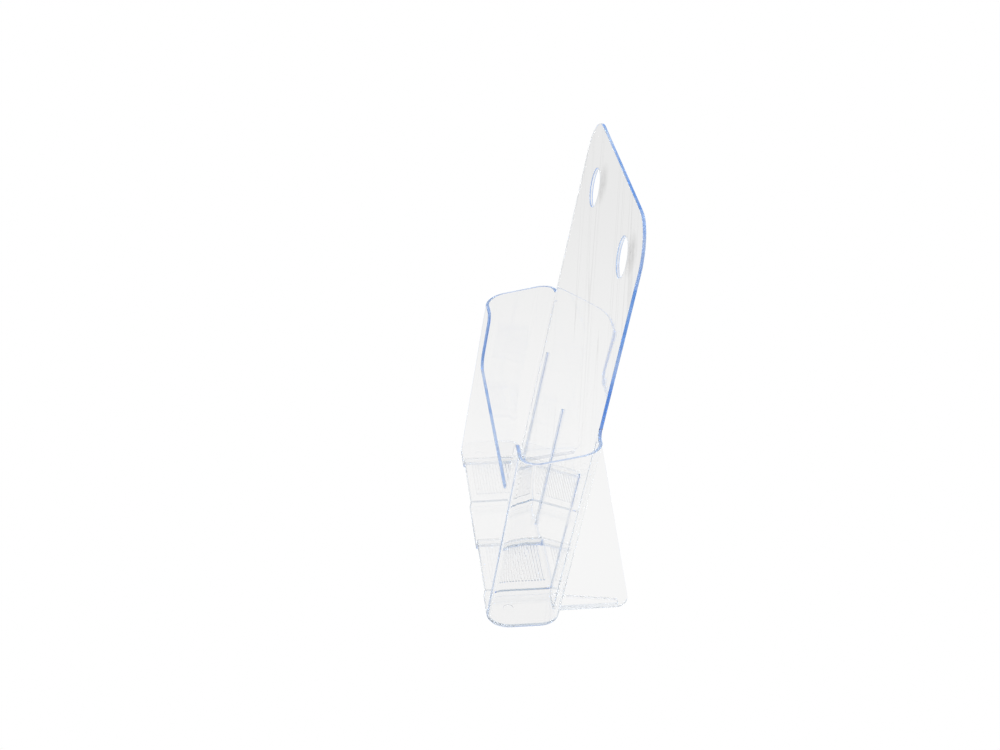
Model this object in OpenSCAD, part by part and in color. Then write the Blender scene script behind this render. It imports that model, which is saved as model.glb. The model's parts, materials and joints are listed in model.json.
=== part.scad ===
// Leaflet holder for a counter or a wall: a clear leaning pocket with a tall back panel,
// a cut-down front, a stepped floor with ribbed grip pads, and two rear stand fins.
// Frame: +Z up, the desk is z = 0, x = 0 is mid-width, the front faces -Y.
// The origin is the middle of the centre foot's underside.

/* [Sheet] */
// Wall thickness of every sheet
wall = 2.2; // [1.8:0.1:3]
// Lean of the back panel from the vertical, in degrees
lean = 10.35; // [8:0.05:13]

/* [Back panel] */
// Width of the back panel
panel_w = 194.4; // [188:0.2:197]
// Height of the panel above the pocket rim, measured along the panel
panel_rise = 136.9; // [110:1:160]
// Radius of the panel's top corners
panel_corner_r = 28; // [10:1:35]
// Diameter of the two hanging holes
hole_d = 24.8; // [10:0.1:30]
// Distance between the centres of the two holes
hole_pitch = 107.5; // [80:0.5:130]
// Height of the holes above the pocket rim, measured along the panel
hole_rise = 100; // [60:1:105]

/* [Pocket] */
// Outside width of the pocket at its rim
pocket_w = 231.9; // [230:0.5:240]
// Width lost to mould draft from the rim to the desk, both sides together
side_draft = 6.4; // [4:0.2:8]
// Outside depth of the pocket at its rim, square to the panel
pocket_d = 46.5; // [38:0.5:55]
// Depth lost to mould draft from the rim to the desk
front_draft = 3.4; // [1:0.1:5]
// Height of the rim above the desk, where it meets the panel
rim_h = 127.7; // [115:0.1:145]
// Fall of the rim towards the front, in degrees
rim_fall = 9.8; // [5:0.1:15]
// Outside radius of the front corners
front_corner_r = 14; // [8:1:14]
// Outside radius of the back corners
back_corner_r = 13; // [8:1:13]
// Radius of the flare between the rim and the panel's side edge
flare_r = 6; // [3:1:8]

/* [Front opening] */
// Height of the low front edge above the desk
low_edge_h = 81.8; // [60:0.2:95]
// Width of the cut-down opening
opening_w = 168; // [150:1:172]
// Radius at the foot of the opening
opening_foot_r = 9; // [8:0.5:20]
// Radius at the top of each front wing
wing_top_r = 7; // [3:1:9]

/* [Ribs] */
// Distance from mid-width to each outer rib
rib_x = 79.7; // [79.6:0.1:79.8]
// Width of a rib
rib_w = 2; // [1.5:0.1:3]
// How far a rib stands out of the back panel
rib_out = 1.2; // [1:0.1:2.5]
// Height of the rib tops above the desk
rib_top_h = 91.4; // [60:0.2:110]

/* [Floor] */
// Height that the grip pads are raised above the feet
pad_raise = 5; // [3:0.5:7]
// Distance from mid-width to a grip pad's inner edge
pad_inner_x = 25.2; // [20:0.2:32]
// Distance from mid-width to a grip pad's outer edge
pad_outer_x = 78.6; // [70:0.2:84]
// Distance between neighbouring grip ridges
ridge_pitch = 2; // [1.8:0.1:2.4]
// Radius of a grip ridge
ridge_r = 0.6; // [0.3:0.1:0.8]
// Number of ridges on a pad
ridge_count = 17; // [8:1:17]
// Margin left plain at each end of the ridges
ridge_margin = 6; // [3:1:10]
// Diameter of the round mark left on each end foot by the mould
mark_d = 6; // [4:0.5:8]
// Distance from mid-width to each mark
mark_x = 93; // [88:1:98]
// Place of the marks from front to back
mark_y = -8; // [-10:1:8]

/* [Stand fins] */
// Distance on the desk from the panel's front face to the back of the fins
fin_reach = 48.4; // [45:0.2:60]
// Height of the fin's point above the desk
fin_top_h = 123; // [90:1:124]
// Width of the fin's blunt point
fin_point = 1.5; // [1:0.5:4]
// Radius of the fin's lower back corner
fin_corner_r = 7; // [4:1:12]
// Thickness of the flange along the foot of a fin
flange_t = 3; // [2:0.5:4]
// Width of the flange at the pocket, from the fin's outer face
flange_front_w = 15; // [10:1:26]
// Width of the flange at the back of the fin, from the fin's outer face
flange_back_w = 7; // [5:1:10]

/* [Hidden] */
$fn = 72;
CLEAR = [0.87, 0.92, 0.97, 0.5];
EDGE = [0.45, 0.62, 0.88, 0.7];
FAR = 400;
SLICE = 0.01;
MARK_DEPTH = 0.3;
ARC_STEPS = 12;
half_panel = panel_w / 2;
pad_w = pad_outer_x - pad_inner_x;
pad_z = pad_raise + wall;
rim_s = rim_h / cos(lean);
panel_s = rim_s + panel_rise;
// Both ends of the tapered pocket, measured up the panel, beyond the cuts at desk and rim
below_s = -12;
above_s = rim_s + 12;
front_lean = lean - atan(front_draft / rim_s);
// Distances on the desk, square to the panel, from the panel's front face
front_gap = depth(0) * (cos(lean) + sin(lean) * tan(front_lean));
cavity_d = front_gap - wall / cos(front_lean);
panel_foot_y = cavity_d / 2;
front_foot_y = panel_foot_y - front_gap;

// Half the outside width and the outside depth of the pocket at s, measured up the panel
function half_width(s) = (pocket_w - side_draft * (rim_s - s) / rim_s) / 2;
function depth(s) = pocket_d - front_draft * (rim_s - s) / rim_s;
// The panel's front and back faces and the front wall's inner face at height z
function panel_front_y(z) = panel_foot_y + z * tan(lean);
function panel_back_y(z) = panel_front_y(z) + wall / cos(lean);
function cavity_front_y(z) = -cavity_d / 2 + z * tan(front_lean);
function arc(c, r, a0, a1) =
    [for (i = [0:ARC_STEPS]) c + r * [cos(a0 + (a1 - a0) * i / ARC_STEPS), sin(a0 + (a1 - a0) * i / ARC_STEPS)]];
// Plan outline of the pocket: half width w, front face at -d, back face at b
function plan(w, d, b, front_r, back_r) = concat(
    arc([w - back_r, b - back_r], back_r, 0, 90),
    arc([back_r - w, b - back_r], back_r, 90, 180),
    arc([front_r - w, front_r - d], front_r, 180, 270),
    arc([w - front_r, front_r - d], front_r, 270, 360));

// Stands children up along the panel: y = 0 is its front face, z is measured up it
module leaned() translate([0, panel_foot_y, 0]) rotate([-lean, 0, 0]) children();

// A sheet standing on its edge: the outline is in x and height, the front face is at y = 0
module sheet(t) translate([0, t, 0]) rotate([90, 0, 0]) linear_extrude(t) children();

// A shape drawn in y and z, spread over x0 to x1
module across(x0, x1)
    translate([x0, 0, 0]) rotate([90, 0, 90]) linear_extrude(x1 - x0) children();

module below_desk() translate([-FAR, -FAR, -FAR]) cube([2 * FAR, 2 * FAR, FAR]);

module above_rim()
    translate([0, panel_front_y(rim_h), rim_h]) rotate([rim_fall, 0, 0])
        translate([-FAR, -FAR, 0]) cube([2 * FAR, 2 * FAR, FAR]);

// Space under both grip pads, open to the front and the back
module under_pads()
    for (side = [-1, 1])
        translate([side * (pad_inner_x + pad_outer_x) / 2, 0, 0])
            cube([pad_w, 2 * FAR, 2 * pad_raise], center = true);

// The solid inside the pocket's outer faces, or its cavity when inset is the wall
module pocket_block(inset, back)
    leaned() hull()
        for (s = [below_s, above_s])
            translate([0, 0, s]) linear_extrude(SLICE)
                polygon(plan(half_width(s) - inset, depth(s) - inset, back,
                             front_corner_r - inset, back_corner_r - inset));

module back_panel() {
    straight_h = panel_s - panel_corner_r;
    color(CLEAR) difference() {
        leaned() sheet(wall) difference() {
            union() {
                translate([-half_panel, below_s]) square([panel_w, straight_h - below_s]);
                translate([panel_corner_r - half_panel, below_s])
                    square([panel_w - 2 * panel_corner_r, panel_s - below_s]);
                for (side = [-1, 1])
                    translate([side * (half_panel - panel_corner_r), straight_h]) circle(panel_corner_r);
            }
            for (side = [-1, 1])
                translate([side * hole_pitch / 2, rim_s + hole_rise]) circle(d = hole_d);
        }
        below_desk();
        under_pads();
    }
}

// The opening in the front wall, with round lower corners and round wing tops
module opening_outline() {
    half = opening_w / 2;
    low = low_edge_h / cos(front_lean);
    wing_top = (rim_h - front_gap * tan(rim_fall)) / cos(front_lean);
    translate([-half, low + opening_foot_r]) square([opening_w, FAR]);
    translate([opening_foot_r - half, low]) square([opening_w - 2 * opening_foot_r, FAR]);
    for (side = [-1, 1]) {
        translate([side * (half - opening_foot_r), low + opening_foot_r]) circle(opening_foot_r);
        translate([side * half, wing_top - wing_top_r]) difference() {
            translate([-wing_top_r, 0]) square([2 * wing_top_r, 2 * wing_top_r]);
            translate([side * wing_top_r, 0]) circle(wing_top_r);
        }
    }
}

module front_wall() {
    color(CLEAR) difference() {
        translate([0, front_foot_y, 0]) rotate([-front_lean, 0, 0]) sheet(wall) difference() {
            translate([-half_panel, below_s]) square([panel_w, above_s - below_s]);
            opening_outline();
        }
        below_desk();
        under_pads();
        above_rim();
    }
}

// One end of the pocket, with its front and back corners and the flare up to the panel edge
module side_wall(side) {
    color(CLEAR) union() {
        difference() {
            pocket_block(0, wall);
            pocket_block(wall, 0);
            below_desk();
            above_rim();
            translate([side > 0 ? half_panel - 2 * FAR : -half_panel, -FAR, -FAR]) cube(2 * FAR);
        }
        leaned() translate([side * half_panel, 0, rim_s]) sheet(wall) difference() {
            translate([side > 0 ? 0 : -flare_r, -wall]) square([flare_r, flare_r + wall]);
            translate([side * flare_r, flare_r]) circle(flare_r);
        }
    }
}
module left_side_wall() side_wall(-1);
module right_side_wall() side_wall(1);

// Cross-section of the pocket's inside between two heights
module inside_section(z0, z1)
    polygon([[panel_front_y(z0), z0], [panel_front_y(z1), z1],
             [cavity_front_y(z1), z1], [cavity_front_y(z0), z0]]);

// The floor at one end, with the round mark and the riser up to the grip pad
module end_foot(side) {
    riser_x = side > 0 ? pad_outer_x : -pad_outer_x - wall;
    color(EDGE) union() {
        difference() {
            intersection() {
                pocket_block(wall, 0);
                translate([side > 0 ? pad_outer_x : -FAR, -FAR, 0])
                    cube([FAR - pad_outer_x, 2 * FAR, wall]);
            }
            translate([side * mark_x, mark_y, wall - MARK_DEPTH]) cylinder(d = mark_d, h = wall);
        }
        across(riser_x, riser_x + wall) inside_section(0, pad_z);
    }
}
module left_end_foot() end_foot(-1);
module right_end_foot() end_foot(1);

module centre_foot() {
    color(EDGE) union() {
        across(-pad_inner_x, pad_inner_x) inside_section(0, wall);
        across(-pad_inner_x, wall - pad_inner_x) inside_section(0, pad_z);
        across(pad_inner_x - wall, pad_inner_x) inside_section(0, pad_z);
    }
}

// A raised part of the floor with half-round ridges that stop the leaflets sliding forward
module grip_pad(side) {
    x0 = side > 0 ? pad_inner_x : -pad_outer_x;
    middle_y = (panel_front_y(pad_z) + cavity_front_y(pad_z)) / 2;
    color(EDGE) union() {
        across(x0, x0 + pad_w) inside_section(pad_raise, pad_z);
        for (i = [0:ridge_count - 1])
            translate([x0 + ridge_margin, middle_y + (i - (ridge_count - 1) / 2) * ridge_pitch, pad_z])
                rotate([0, 90, 0]) cylinder(r = ridge_r, h = pad_w - 2 * ridge_margin, $fn = 24);
    }
}
module left_grip_pad() grip_pad(-1);
module right_grip_pad() grip_pad(1);

// An upright rib on the pocket's back wall, from the floor to a round top
module rib(x) {
    top_s = rib_top_h / cos(lean);
    foot_z = abs(x) > pad_inner_x ? pad_z : wall;
    color(EDGE) difference() {
        leaned() translate([x, -rib_out, 0]) sheet(rib_out) union() {
            translate([-rib_w / 2, 0]) square([rib_w, top_s - rib_w / 2]);
            translate([0, top_s - rib_w / 2]) circle(d = rib_w);
        }
        translate([0, 0, foot_z]) below_desk();
    }
}
module left_rib() rib(-rib_x);
module centre_rib() rib(0);
module right_rib() rib(rib_x);

// Side view of a stand fin, from its blunt point down to a round back corner on the desk
module fin_outline() {
    back_y = panel_foot_y + fin_reach;
    tip_y = panel_back_y(fin_top_h) + fin_point;
    corner_angle = atan2(fin_top_h, back_y - tip_y);
    corner = [back_y - fin_corner_r / tan(corner_angle / 2), fin_corner_r];
    polygon(concat(
        [[panel_back_y(0), 0]],
        arc(corner, fin_corner_r, -90, 90 - corner_angle),
        [[tip_y, fin_top_h], [panel_back_y(fin_top_h), fin_top_h]]));
}

module stand_fin(side)
    color(CLEAR) across(side > 0 ? half_panel - wall : -half_panel,
                        side > 0 ? half_panel : wall - half_panel) fin_outline();
module left_stand_fin() stand_fin(-1);
module right_stand_fin() stand_fin(1);

// The flange along the foot of a fin, tapering from the back of the pocket
module fin_flange(side) {
    inner_x = half_panel - wall;
    back_y = panel_foot_y + fin_reach - fin_corner_r;
    color(EDGE) mirror([side > 0 ? 0 : 1, 0, 0]) difference() {
        linear_extrude(flange_t)
            polygon([[inner_x, 0], [half_panel - flange_front_w, 0],
                     [half_panel - flange_front_w, panel_back_y(flange_t)],
                     [half_panel - flange_back_w, back_y], [inner_x, back_y]]);
        leaned() translate([-FAR, wall - 2 * FAR, -FAR]) cube(2 * FAR);
    }
}
module left_fin_flange() fin_flange(-1);
module right_fin_flange() fin_flange(1);

back_panel();
front_wall();
left_side_wall();
right_side_wall();
left_end_foot();
centre_foot();
right_end_foot();
left_grip_pad();
right_grip_pad();
left_rib();
centre_rib();
right_rib();
left_stand_fin();
right_stand_fin();
left_fin_flange();
right_fin_flange();
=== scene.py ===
"""A clear moulded leaflet holder: its sheets, ribs, floor and stand fins, in real refracting plastic."""
import json
import math
import bmesh
import bpy
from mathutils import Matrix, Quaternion, Vector
from mathutils.bvhtree import BVHTree


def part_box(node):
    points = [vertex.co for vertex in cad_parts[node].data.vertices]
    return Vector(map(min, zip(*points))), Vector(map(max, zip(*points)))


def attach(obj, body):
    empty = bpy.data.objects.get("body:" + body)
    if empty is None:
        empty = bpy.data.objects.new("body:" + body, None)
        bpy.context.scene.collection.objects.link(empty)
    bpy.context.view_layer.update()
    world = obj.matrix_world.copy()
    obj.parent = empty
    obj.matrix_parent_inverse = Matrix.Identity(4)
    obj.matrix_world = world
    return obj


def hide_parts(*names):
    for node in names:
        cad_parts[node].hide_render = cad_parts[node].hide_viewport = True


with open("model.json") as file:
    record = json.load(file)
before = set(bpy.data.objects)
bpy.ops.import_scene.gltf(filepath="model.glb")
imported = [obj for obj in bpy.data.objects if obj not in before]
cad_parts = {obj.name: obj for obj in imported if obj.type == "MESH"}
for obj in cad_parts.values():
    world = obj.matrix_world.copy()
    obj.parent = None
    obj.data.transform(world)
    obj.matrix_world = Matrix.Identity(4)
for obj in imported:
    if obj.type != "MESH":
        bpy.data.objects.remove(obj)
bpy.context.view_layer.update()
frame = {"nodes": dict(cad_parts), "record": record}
nodes = frame["nodes"]
scene = bpy.context.scene

# Lengths are in metres, and angles in radians where nothing else is said.
TOUCH = 6e-6                    # gap between two faces that touch
SLIVER = 4e-6                   # gap between two points that are one
SAME_PLACE = 1e-7               # gap between two points that neighbouring triangles share
NO_LENGTH = 1e-12               # length of a vector that has no direction
TINY_AREA = 1e-9                # area of a face that is too small to cut, in square metres
MARGIN = 2e-5                   # how far inside a face a line has to run to cut it
FLAT = math.radians(0.2)        # turn between two triangles of one flat face
SHARP = math.radians(32)        # turn at an edge that isn't smooth
STEEP = 0.5                     # cosine between a face and its sheet, below which it is the sheet's edge
LEVEL = 0.97                    # cosine to the vertical, above which a face is level
ON_DESK = 1e-5                  # height below which an edge stands on the desk
PROBE = 1e-5                    # how far outside a face its neighbour is looked for

RAY_WAY = Vector((0.1234, 0.2345, 0.9643)).normalized()     # a direction along none of the faces
RAY_STEP = 1e-6                 # how far past a face the ray goes on
RAY_LIMIT = 60                  # faces that a ray can go through

BEVEL = 0.0003                  # roundings of the edges, this one where nothing else is said
RIB_ROUND = 0.0007
FOOT_ROUND = 0.0015
FOOT_BAND = 1e-4                # area of a face that is too big to be part of that rounding
RIM_ROUND = 0.0006
HOLE_ROUND = 0.0008

CLEAR, EDGE, SEAM, BORE, BEND = range(5)    # a piece's materials, in order
IOR = 1.5
ABSORBED = (9.0, 5.0, 1.1)      # red, green and blue light lost per metre of plastic
FREE_RUN = 0.0035               # length of plastic that light crosses without a visible tint

holes = next(m for m in frame["record"]["mounts"] if m["name"] == "hanging_holes")
HOLE_R = holes["dims"]["hole_r_mm"] / 1000
HOLE_SIDE = holes["dims"]["pcd_mm"] / 2000
HOLES = [Vector(holes["pos_m"]) + Vector((side * HOLE_SIDE, 0, 0)) for side in (-1, 1)]
HOLE_BORDER = 0.003             # reach round a hole of the faces that belong to it
HOLE_WALL = 0.3                 # cosine to the panel below which a face is a hole's wall
HOLE_RIM = 0.95                 # and below which it is the rounding of its rim

RIM_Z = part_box("left_side_wall")[1][2] - 0.0062     # every face of an end wall above this is its rim
WING_Z = 0.09                   # and every face above this that points up
UPWARD = 0.6                    # cosine to the vertical of a face that points up
FRONT_TURN = 16                 # degrees of each front corner that gather light
PANEL_LEAN = math.radians(10.35)
FRONT_LEAN = math.radians(8.85)
PANEL_NORMAL = Vector((0, -math.cos(PANEL_LEAN), math.sin(PANEL_LEAN)))
FRONT_NORMAL = Vector((0, -math.cos(FRONT_LEAN), math.sin(FRONT_LEAN)))


# ---------------------------------------------------------------- materials

class Nodes:
    """A material's node tree, with a short way to add and join nodes."""

    def __init__(self, name):
        self.material = bpy.data.materials.new(name)
        self.material.use_nodes = True
        self.tree = self.material.node_tree
        self.tree.nodes.clear()
        self.output = self.tree.nodes.new("ShaderNodeOutputMaterial")

    @classmethod
    def of_world(cls, world):
        made = cls.__new__(cls)
        made.material, made.tree = world, world.node_tree
        made.tree.nodes.clear()
        made.output = made.tree.nodes.new("ShaderNodeOutputWorld")
        return made

    def add(self, kind, inputs=None, **settings):
        node = self.tree.nodes.new(kind)
        for key, value in settings.items():
            setattr(node, key, value)
        for key, value in (inputs or {}).items():
            if isinstance(value, bpy.types.NodeSocket):
                self.tree.links.new(value, node.inputs[key])
            else:
                node.inputs[key].default_value = value
        return node

    def math(self, operation, a, b=0.0, c=0.0):
        return self.add("ShaderNodeMath", {0: a, 1: b, 2: c}, operation=operation).outputs[0]

    def surface(self, socket):
        self.tree.links.new(socket, self.output.inputs["Surface"])
        return self.material

    def place(self):
        """Where the point is on the object."""
        return self.add("ShaderNodeTexCoord").outputs["Object"]

    def fraction(self, value, low, high, start=0.0, end=1.0):
        """A value between low and high, as one between start and end."""
        return self.add("ShaderNodeMapRange", {"Value": value, "From Min": low, "From Max": high,
                                               "To Min": start, "To Max": end}).outputs[0]

    def noise(self, vector, scale, detail):
        return self.add("ShaderNodeTexNoise", {"Vector": vector, "Scale": scale,
                                               "Detail": detail}).outputs["Fac"]

    def vector(self, operation, a, b, output="Vector"):
        return self.add("ShaderNodeVectorMath", {0: a, 1: b}, operation=operation).outputs[output]

    def combine(self, x, y, z=0.0):
        """A vector from its parts."""
        return self.add("ShaderNodeCombineXYZ", {0: x, 1: y, 2: z}).outputs[0]

    def length(self, vector):
        return self.add("ShaderNodeVectorMath", {0: vector}, operation="LENGTH").outputs["Value"]

    def blend(self, share, first, second):
        return self.add("ShaderNodeMixShader", {0: share, 1: first, 2: second}).outputs[0]

    def blend_colours(self, share, first, second):
        return self.add("ShaderNodeMix", {0: share, 6: first, 7: second}, data_type="RGBA").outputs[2]

    def blend_values(self, share, first, second):
        return self.add("ShaderNodeMix", {0: share, 2: first, 3: second}, data_type="FLOAT").outputs[0]


def absorbed(m, strength):
    """What is left of white light after its last straight run inside the plastic, seen from inside."""
    path = m.add("ShaderNodeLightPath").outputs["Ray Length"]
    inside = m.add("ShaderNodeNewGeometry").outputs["Backfacing"]
    run = m.math("MAXIMUM", m.math("SUBTRACT", m.math("MULTIPLY", path, inside), FREE_RUN), 0.0)
    channels = [m.math("EXPONENT", m.math("MULTIPLY", run, -strength * rate)) for rate in ABSORBED]
    return m.add("ShaderNodeCombineColor", {0: channels[0], 1: channels[1], 2: channels[2]}).outputs[0]


def ripple(m, scale, stretch, height):
    """A bump for the faint waves that moulding leaves in a sheet."""
    spread = m.add("ShaderNodeMapping", {"Vector": m.place(), "Scale": stretch}).outputs[0]
    wave = m.add("ShaderNodeTexNoise", {"Vector": spread, "Scale": scale, "Detail": 2.0,
                                        "Roughness": 0.45}).outputs["Fac"]
    return m.add("ShaderNodeBump", {"Height": wave, "Distance": height, "Strength": 1.0}).outputs[0]


def lit_from_outside(m, colour, from_inside):
    """Light scattered by the skin, which comes from the air outside, whichever side it is seen from."""
    inside = m.add("ShaderNodeNewGeometry").outputs["Backfacing"]
    outer = m.add("ShaderNodeBsdfDiffuse", {"Color": colour}).outputs[0]
    inner = m.add("ShaderNodeBsdfTranslucent", {"Color": from_inside}).outputs[0]
    return m.blend(inside, outer, inner)


def grazing(m):
    """0 where the skin is seen squarely, and 1 where it is seen at a grazing angle from outside."""
    facing = m.add("ShaderNodeLayerWeight", {"Blend": 0.5}).outputs["Facing"]
    return m.fraction(facing, 0.5, 0.85)


def glass(m, colour, roughness, normal=None):
    inputs = {"Color": colour, "Roughness": roughness, "IOR": IOR}
    if normal:
        inputs["Normal"] = normal
    return m.add("ShaderNodeBsdfGlass", inputs).outputs[0]


def plastic(name, strength, stretch, height, scale, roughness=0.0, shade=1.0, painted_shade=None, glow=0.0,
            sliding=False):
    """Clear plastic.

    strength is how much it absorbs, and stretch, height and scale shape its faint waves. shade is its
    greyness, and a darkening passed in paints shade and reflections onto it in places. glow is its share
    of painted pale blue glow, which sliding keeps to grazing angles.
    """
    m = Nodes(name)
    colour = absorbed(m, strength)
    if painted_shade or shade < 1:
        grey = m.math("SUBTRACT", shade, painted_shade(m) if painted_shade else 0.0)
        colour = m.add("ShaderNodeVectorMath", {0: colour, "Scale": grey}, operation="SCALE").outputs[0]
    shader = glass(m, colour, roughness, ripple(m, scale, stretch, height))
    if glow:
        # Painted glow: a pale blue lit by the surroundings, blended over the clear plastic.
        pale = lit_from_outside(m, PAINTED_GLOW_BLUE, PAINTED_GLOW_BLUE)
        share = m.math("MULTIPLY", grazing(m), glow) if sliding else glow
        shader = m.blend(share, shader, pale)
    return m.surface(shader)


# The painted reflection of a hole's wall, a darker patch beside each hole: its two directions on the panel,
# per half width and per half length.
HOLE_REFLECTION_WIDTH, HOLE_REFLECTION_LENGTH = 0.0045, 0.013
HOLE_REFLECTION_ACROSS = Vector((0.26, 0.19 * math.sin(PANEL_LEAN), 0.19 * math.cos(PANEL_LEAN))) / HOLE_REFLECTION_WIDTH
HOLE_REFLECTION_ALONG = Vector((0.63, -0.78 * math.sin(PANEL_LEAN), -0.78 * math.cos(PANEL_LEAN))) / HOLE_REFLECTION_LENGTH
HOLE_REFLECTION_PLACE = (1.55, 0.3)      # its middle, from the middle of the hole in those two directions
HOLE_REFLECTION_FADE = (0.4, 1.1)        # where it starts and ends to fade
HOLE_REFLECTION_DARKNESS = 0.26
# Painted reflections on the panel: faint darker streaks that lean as they rise.
STREAK_SLANT = 0.9                # how far the painted reflection streaks lean across the panel as they rise
STREAK_WANDER = 0.06              # how soon they change on the way up
STREAK_SCALE = 26.0
STREAK_SLICE = 0.37               # which slice of the noise they are taken from
STREAK_LEVELS = ((0.44, 0.007), (0.5, 0.013), (0.57, 0.007))     # noise values and half widths of the lines
STREAK_DARKNESS = 0.09
PAINTED_SHADE_DARKNESS = 1.45           # of all this painted shade together, at the most grazing angle


def painted_reflection_streaks(m):
    """Painted reflections: faint darker streaks that rise and lean across the panel, fading here and there.
    """
    split = m.add("ShaderNodeSeparateXYZ", {0: m.place()}).outputs
    across = m.math("MULTIPLY_ADD", split["Z"], STREAK_SLANT, split["X"])
    rising = m.math("MULTIPLY", split["Z"], STREAK_WANDER)
    streak_noise = m.noise(m.combine(across, rising, STREAK_SLICE), STREAK_SCALE, 1.0)
    lines = 0.0
    for level, width in STREAK_LEVELS:
        gap = m.math("ABSOLUTE", m.math("SUBTRACT", streak_noise, level))
        lines = m.math("ADD", lines, m.fraction(gap, 0.0, width, STREAK_DARKNESS, 0.0))
    fade = m.fraction(m.noise(m.place(), 14.0, 1.0), 0.3, 0.5, 0.25)
    above_pocket = m.fraction(split["Z"], 0.08, 0.15, 0.35)
    return m.math("MULTIPLY", lines, m.math("MULTIPLY", fade, above_pocket))


def panel_painted_shade(m):
    """How much painted shade darkens the panel: painted reflection streaks up it and a painted reflection
    of the wall of each of its two holes, at a grazing angle.
    """
    total = painted_reflection_streaks(m)
    mottle = m.noise(m.place(), 170.0, 2.0)
    # Beside each hole, a darker patch of painted reflection of the hole's wall.
    for hole in HOLES:
        offset = m.vector("SUBTRACT", m.place(), hole)
        aside = m.vector("DOT_PRODUCT", offset, HOLE_REFLECTION_ACROSS, "Value")
        along = m.vector("DOT_PRODUCT", offset, HOLE_REFLECTION_ALONG, "Value")
        spot = m.combine(m.math("SUBTRACT", aside, HOLE_REFLECTION_PLACE[0]),
                         m.math("SUBTRACT", along, HOLE_REFLECTION_PLACE[1]))
        near = m.fraction(m.length(spot), *HOLE_REFLECTION_FADE, 1.0, 0.0)
        hole_reflection = m.math("MULTIPLY", near, m.math("MULTIPLY", mottle, HOLE_REFLECTION_DARKNESS))
        total = m.math("ADD", total, hole_reflection)
    return m.math("MULTIPLY", total, m.math("MULTIPLY", grazing(m), PAINTED_SHADE_DARKNESS))


def glowing_edge(name, deep, pale, share, scale=30.0):
    """A sheet's narrow edge, which gathers blue light from all along the sheet."""
    m = Nodes(name)
    clear = glass(m, absorbed(m, 1.3), 0.1, ripple(m, 400, EVEN, 0.00002))
    lightness = m.fraction(m.noise(m.place(), scale, 3.0), 0.42, 0.66)
    glow = lit_from_outside(m, m.blend_colours(lightness, deep, pale), INSIDE_WHITE)
    return m.surface(m.blend(share, clear, glow))


def bright_bore(name):
    """The wall of a hole, with a painted glow: an emission that stands in for the light that leaves the
    panel through it.
    """
    m = Nodes(name)
    clear = glass(m, (0.97, 0.985, 1, 1), 0.2)
    level = m.fraction(m.noise(m.place(), 90.0, 2.0), 0.0, 1.0, 0.8, 1.0)
    light = m.add("ShaderNodeEmission", {"Color": (0.96, 0.97, 1, 1), "Strength": level}).outputs[0]
    return m.surface(m.blend(0.8, clear, light))


def joined(name):
    """Where two pieces run into each other as one moulding, light goes straight through."""
    m = Nodes(name)
    return m.surface(m.add("ShaderNodeBsdfTransparent").outputs[0])


# Colour of the painted glow on ribs and front corner bends.
PAINTED_GLOW_BLUE = (0.55, 0.70, 1, 1)
INSIDE_WHITE = (0.86, 0.91, 0.98, 1)
EVEN = (1, 1, 1)
UPRIGHT = (1, 1, 0.12)          # waves that run up and down a sheet
BACKWARD = (1, 0.2, 1)
SHEET = {"strength": 1.0, "stretch": UPRIGHT, "height": 0.000012, "scale": 70}
FINISH = {
    "clear_sheet": plastic("clear_sheet", **SHEET),
    "clear_floor": plastic("clear_floor", strength=1.2, stretch=EVEN, height=0.000015, scale=90,
                           shade=0.976),
    "ridged_floor": plastic("ridged_floor", strength=1.4, stretch=EVEN, height=0.00002, scale=120,
                            shade=0.97),
    "clear_rib": plastic("clear_rib", strength=1.0, stretch=(1, 1, 0.3), height=0.00001, scale=80,
                         roughness=0.05, glow=0.16),
    "clear_fin": plastic("clear_fin", strength=0.8, stretch=BACKWARD, height=0.000012, scale=60)}
panel_sheet = plastic("panel_sheet", painted_shade=panel_painted_shade, **SHEET)
panel_edge = glowing_edge("panel_edge", (0.16, 0.39, 0.90, 1), (0.60, 0.75, 1.0, 1), 0.64)
pocket_edge = glowing_edge("pocket_edge", (0.32, 0.50, 0.92, 1), (0.72, 0.80, 1.0, 1), 0.6)
rim_edge = glowing_edge("rim_edge", (0.36, 0.50, 0.85, 1), (0.75, 0.82, 0.96, 1), 0.5)
# The flange's edge is painted dark blue-grey, painted shade for the dark lines along the foot of each fin.
flange_edge = glowing_edge("flange_edge", (0.16, 0.21, 0.34, 1), (0.55, 0.62, 0.8, 1), 0.3, 50.0)
bore = bright_bore("hole_wall")
# Painted pale blue glow where each front corner starts to turn, at grazing angles.
bend = plastic("corner_bend", roughness=0.02, glow=0.4, sliding=True, **SHEET)
seam = joined("run_together")


# ---------------------------------------------------------------- pieces

def bare(node):
    """A CAD node's faces, with coplanar triangles joined up."""
    bm = bmesh.new()
    bm.from_mesh(nodes[node].data)
    bmesh.ops.remove_doubles(bm, verts=bm.verts, dist=SAME_PLACE)
    bmesh.ops.dissolve_limit(bm, angle_limit=FLAT, verts=bm.verts, edges=bm.edges)
    bm.normal_update()
    return bm


def tree_of(bm):
    """A piece's triangles, to be hit by rays."""
    copy = bm.copy()
    bmesh.ops.triangulate(copy, faces=copy.faces)
    tree = BVHTree.FromBMesh(copy)
    copy.free()
    return tree


def grown(lo, hi, by):
    """A box that reaches further on every side."""
    return [v - by for v in lo], [v + by for v in hi]


def overlap(a, b):
    """Whether two boxes meet."""
    return all(a[0][i] <= b[1][i] and b[0][i] <= a[1][i] for i in range(3))


def box_of(points):
    """The lowest and highest corners round some points."""
    return [min(p[i] for p in points) for i in range(3)], [max(p[i] for p in points) for i in range(3)]


def inside_face(face, point):
    """Whether a point in a face's plane lies inside it, away from its border."""
    if not bmesh.geometry.intersect_face_point(face, point):
        return False
    for e in face.edges:
        a, b = (v.co for v in e.verts)
        along = b - a
        t = max(0.0, min(1.0, (point - a).dot(along) / max(along.length_squared, 1e-18)))
        if (point - (a + along * t)).length < MARGIN:
            return False
    return True


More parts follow.
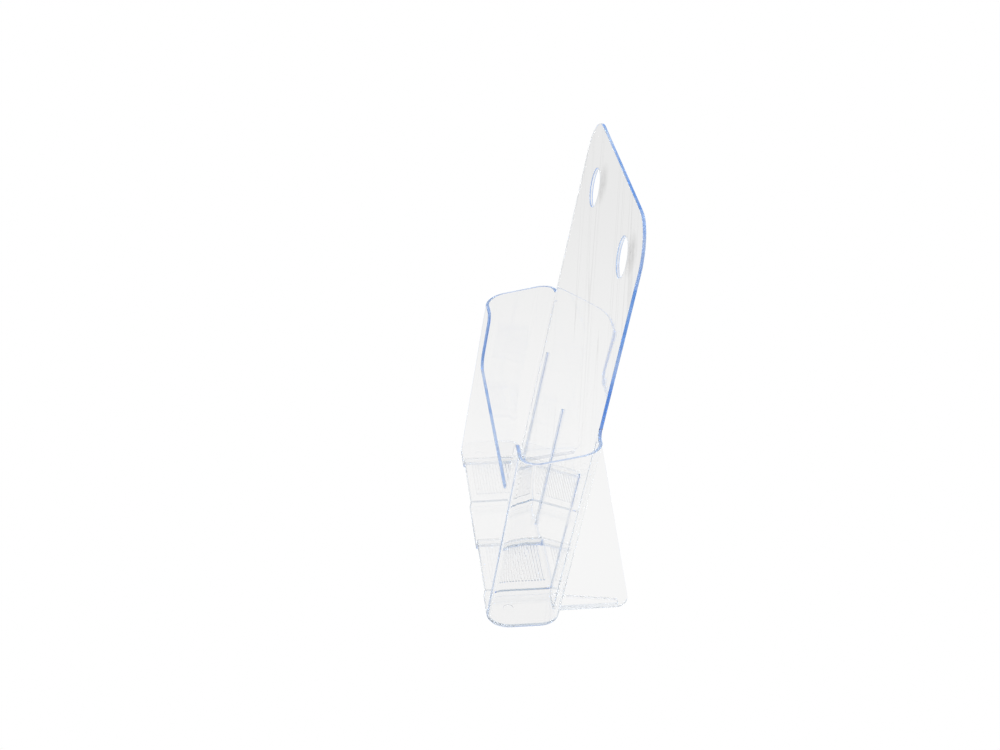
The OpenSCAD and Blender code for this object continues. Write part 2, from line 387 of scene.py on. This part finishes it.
def crosses(face, a, b):
    """Whether the line from a to b lies in a face and runs inside it."""
    normal, centre = face.normal, face.calc_center_median()
    if abs((a - centre).dot(normal)) > TOUCH or abs((b - centre).dot(normal)) > TOUCH:
        return False
    if not overlap(grown(*box_of([v.co for v in face.verts]), TOUCH), box_of([a, b])):
        return False
    return any(inside_face(face, a.lerp(b, t)) for t in (0.02, 0.25, 0.5, 0.75, 0.98))


def imprint(bm, edges):
    """Cuts the faces of one piece along the outlines of the pieces that touch them."""
    work = list(bm.faces)
    while work:
        face = work.pop()
        if not face.is_valid or face.calc_area() < TINY_AREA:
            continue
        for a, b in edges:
            if not crosses(face, a, b):
                continue
            side = (b - a).cross(face.normal)
            if side.length < NO_LENGTH:
                continue
            old = set(bm.faces)
            bmesh.ops.bisect_plane(bm, geom=[face] + list(face.edges) + list(face.verts), dist=SAME_PLACE,
                                   plane_co=a, plane_no=side.normalized())
            work.extend(f for f in bm.faces if f not in old)
            if face.is_valid:
                work.append(face)
            break


bare_pieces = {name: bare(name) for name in nodes}
trees = {name: tree_of(bm) for name, bm in bare_pieces.items()}
boxes = {name: box_of([v.co for v in bm.verts]) for name, bm in bare_pieces.items()}
outlines = {name: [tuple(v.co.copy() for v in e.verts) for e in bm.edges]
            for name, bm in bare_pieces.items()}


def within(tree, point):
    """Whether a point lies inside a closed piece, by how many faces a ray from it goes through."""
    crossed, start = 0, point.copy()
    while crossed < RAY_LIMIT:
        hit = tree.ray_cast(start, RAY_WAY)[0]
        if hit is None:
            break
        crossed += 1
        start = hit + RAY_WAY * RAY_STEP
    return crossed % 2 == 1


def in_hole(point):
    """Whether a point on the panel belongs to one of the hanging holes."""
    return any((point - hole).length < HOLE_R + HOLE_BORDER for hole in HOLES)


def kind_of(name, face):
    """Whether a face is a hole's wall, part of a corner's bend, the narrow edge of a sheet or plain."""
    if name == "back_panel" and in_hole(face.calc_center_median()) and \
            abs(face.normal.dot(PANEL_NORMAL)) < HOLE_WALL:
        return BORE
    if name.endswith("side_wall") and in_bend(face):
        return BEND
    return EDGE if is_cut_edge(name, face) else CLEAR


def in_bend(face):
    """Whether a face is where a front corner starts to turn, which gathers light from along the sheet."""
    outward_x = face.normal.x * math.copysign(1, face.calc_center_median().x)
    return 1 < math.degrees(math.atan2(outward_x, -face.normal.y)) < FRONT_TURN


def is_cut_edge(name, face):
    """Whether a face is the narrow edge of a sheet."""
    normal, centre = face.normal, face.calc_center_median()
    if name == "back_panel":
        return abs(normal.dot(PANEL_NORMAL)) < STEEP
    if name == "front_wall":
        return abs(normal.dot(FRONT_NORMAL)) < STEEP
    if name.endswith("side_wall"):
        return centre.z > WING_Z and (normal.z > UPWARD or centre.z > RIM_Z)
    if name.endswith("stand_fin"):
        return abs(normal.x) < STEEP
    if name.endswith("flange"):
        return abs(normal.z) < STEEP
    return False


def outward(e):
    """Whether an edge at the desk runs round the outside of the pocket or of a fin."""
    return any(abs(f.normal.z) < STEEP and (abs(f.normal.y) > 0.5 or abs(f.normal.x) > 0.3)
               for f in e.link_faces)


def round_over(bm, wanted, width, segments):
    """Rounds off the sharp outer edges that are wanted, leaving the seams alone."""
    sharp = [e for e in bm.edges if len(e.link_faces) == 2 and e.calc_face_angle(0) > SHARP
             and e.calc_face_angle_signed(0) > 0 and all(f.material_index != SEAM for f in e.link_faces)
             and wanted(e)]
    if sharp:
        bmesh.ops.bevel(bm, geom=sharp, offset=width, offset_type="OFFSET", segments=segments, profile=0.5,
                        affect="EDGES", clamp_overlap=False, loop_slide=False, material=-1)
        bm.normal_update()


def merge_slivers(bm):
    """Merges points that the rounding left in one place, and takes away faces that fold onto each other."""
    bmesh.ops.remove_doubles(bm, verts=bm.verts, dist=SLIVER)
    bmesh.ops.dissolve_degenerate(bm, dist=SLIVER, edges=bm.edges)
    bmesh.ops.triangulate(bm, faces=bm.faces, quad_method="FIXED", ngon_method="EAR_CLIP")
    bm.verts.index_update()
    on_points = {}
    for face in bm.faces:
        on_points.setdefault(tuple(sorted(v.index for v in face.verts)), []).append(face)
    folded = [face for faces in on_points.values() if len(faces) > 1 for face in faces]
    bmesh.ops.delete(bm, geom=folded, context="FACES")
    bm.normal_update()


def mark_faces(name, bm, touching):
    """Says for each face whether it touches another piece and, if not, what kind it is."""
    for face in bm.faces:
        point = face.calc_center_median_weighted() + face.normal * PROBE
        if any(within(trees[o], point) for o in touching):
            face.material_index = SEAM
        else:
            face.material_index = kind_of(name, face)


def round_edges(name, bm):
    """Rounds the sharp outer edges away from the seams, the ones with their own radius first; on a side
    wall only those at its rim and foot.
    """
    stands = name.endswith(("wall", "foot"))
    if name.endswith("rib"):
        round_over(bm, lambda e: True, RIB_ROUND, 6)
    if name == "back_panel":
        round_over(bm, lambda e: all(in_hole(v.co) for v in e.verts), HOLE_ROUND, 4)
    if stands:
        round_over(bm, lambda e: max(v.co.z for v in e.verts) < ON_DESK and outward(e), FOOT_ROUND, 8)
    if name.endswith("side_wall"):
        round_over(bm, lambda e: any(f.material_index == EDGE for f in e.link_faces), RIM_ROUND, 5)
    else:
        round_over(bm, lambda e: True, BEVEL, 3)
    merge_slivers(bm)


def mark_roundings(name, bm):
    """Says again what kind each edge face is, now that the roundings have taken their kind from it."""
    stands = name.endswith(("wall", "foot"))
    for face in bm.faces:
        centre = face.calc_center_median()
        if face.material_index in (EDGE, BORE):
            face.material_index = kind_of(name, face)
        if stands and centre.z < FOOT_ROUND and abs(face.normal.z) < LEVEL and \
                face.material_index == CLEAR and face.calc_area() < FOOT_BAND:
            face.material_index = EDGE
        if name == "back_panel" and in_hole(centre) and \
                HOLE_WALL <= abs(face.normal.dot(PANEL_NORMAL)) < HOLE_RIM:
            face.material_index = EDGE


def shade_smooth(bm):
    """Smooths the roundings and keeps the seams and the sharp edges sharp."""
    for face in bm.faces:
        face.smooth = True
    for e in bm.edges:
        at_seam = any(f.material_index == SEAM for f in e.link_faces)
        e.smooth = not at_seam and e.calc_face_angle(0) < SHARP


def finish_piece(name):
    """Makes the piece that stands for a CAD node."""
    bm = bare_pieces[name]
    touching = [o for o in nodes if o != name and overlap(grown(*boxes[name], TOUCH), boxes[o])]
    imprint(bm, [e for o in touching for e in outlines[o]])
    bm.normal_update()
    mark_faces(name, bm, touching)
    round_edges(name, bm)
    mark_roundings(name, bm)
    shade_smooth(bm)
    mesh = bpy.data.meshes.new(name + "_moulding")
    bm.to_mesh(mesh)
    bm.free()
    slot = SLOTS[name]
    edge = next(m for end, m in EDGES.items() if name.endswith(end))
    for m in (panel_sheet if name == "back_panel" else FINISH[slot], edge, seam, bore, bend):
        mesh.materials.append(m)
    piece = bpy.data.objects.new(name + "_moulding", mesh)
    scene.collection.objects.link(piece)
    weigh = piece.modifiers.new("flat faces stay flat", "WEIGHTED_NORMAL")
    weigh.mode, weigh.weight, weigh.keep_sharp = "FACE_AREA", 100, True
    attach(piece, "root")
    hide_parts(name)


EDGES = {"panel": panel_edge, "side_wall": rim_edge, "flange": flange_edge, "": pocket_edge}
SLOTS = {part["node"]: part["material_slot"] for part in frame["record"]["subparts"]}
for name in nodes:
    finish_piece(name)


# ---------------------------------------------------------------- surroundings

SKY_IN_GLASS = (0.80, 1.0)      # how bright the plastic sees the sky, from just below the horizon up
DARK_SIDE = (0.36, 0.50, 0.88, 1)       # its colour on the side of the camera
FLOOR_IN_GLASS = (0.93, 0.82)   # how bright the plastic sees the floor, near the object and away from it
FLOOR_GAP = 0.0004              # how far the floor lies below the feet
FLOOR_HALF = 4.0


def camera_ray(m):
    return m.add("ShaderNodeLightPath").outputs["Is Camera Ray"]


def lay_floor():
    """A plain white floor, which the plastic sees a little darker."""
    m = Nodes("white_floor")
    away = m.length(m.add("ShaderNodeNewGeometry").outputs["Position"])
    dimmed = m.fraction(away, 0.05, 0.6, *FLOOR_IN_GLASS)
    level = m.blend_values(camera_ray(m), dimmed, 1.0)
    m.surface(m.add("ShaderNodeEmission", {"Color": (1, 1, 1, 1), "Strength": level}).outputs[0])
    bm = bmesh.new()
    bmesh.ops.create_grid(bm, x_segments=1, y_segments=1, size=FLOOR_HALF)
    mesh = bpy.data.meshes.new("floor")
    bm.to_mesh(mesh)
    bm.free()
    mesh.materials.append(m.material)
    floor = bpy.data.objects.new("floor", mesh)
    floor.location.z = -FLOOR_GAP
    scene.collection.objects.link(floor)


def light_studio():
    """Soft white light from all round, which the plastic sees greyer low down and bluer at one side."""
    scene.world = bpy.data.worlds.new("studio")
    scene.world.use_nodes = True
    sky = Nodes.of_world(scene.world)
    way = sky.add("ShaderNodeSeparateXYZ", {0: sky.add("ShaderNodeTexCoord").outputs["Generated"]}).outputs
    seen = camera_ray(sky)
    level = sky.fraction(way["Z"], -0.1, 0.9, *SKY_IN_GLASS)
    blue = sky.math("MULTIPLY", sky.fraction(way["X"], 0.45, 0.9), sky.math("SUBTRACT", 1.0, seen))
    sky.surface(sky.add("ShaderNodeBackground", {
        "Color": sky.blend_colours(blue, (1, 1, 1, 1), DARK_SIDE),
        "Strength": sky.blend_values(seen, level, 1.0)}).outputs[0])


lay_floor()
light_studio()

CAMERA_PLACE = (0.96332, -0.10658, 0.65438)
LENS_MM = 61.2
azimuth, elevation, roll = (math.radians(angle) for angle in (83.968, 28.915, 0.425))
back = Vector((math.sin(azimuth) * math.cos(elevation), -math.cos(azimuth) * math.cos(elevation),
               math.sin(elevation)))
camera = bpy.data.objects.new("camera", bpy.data.cameras.new("camera"))
camera.data.lens, camera.data.sensor_width, camera.data.clip_start = LENS_MM, 36, 0.01
camera.location = CAMERA_PLACE
camera.rotation_mode = "QUATERNION"
camera.rotation_quaternion = (-back).to_track_quat("-Z", "Y") @ Quaternion((0, 0, 1), roll)
scene.collection.objects.link(camera)
scene.camera = camera

# Light has to get through many sheets and along them.
scene.view_settings.view_transform = "Standard"
scene.cycles.max_bounces = 256
scene.cycles.transmission_bounces = 128
scene.cycles.glossy_bounces = 192
scene.cycles.transparent_max_bounces = 256
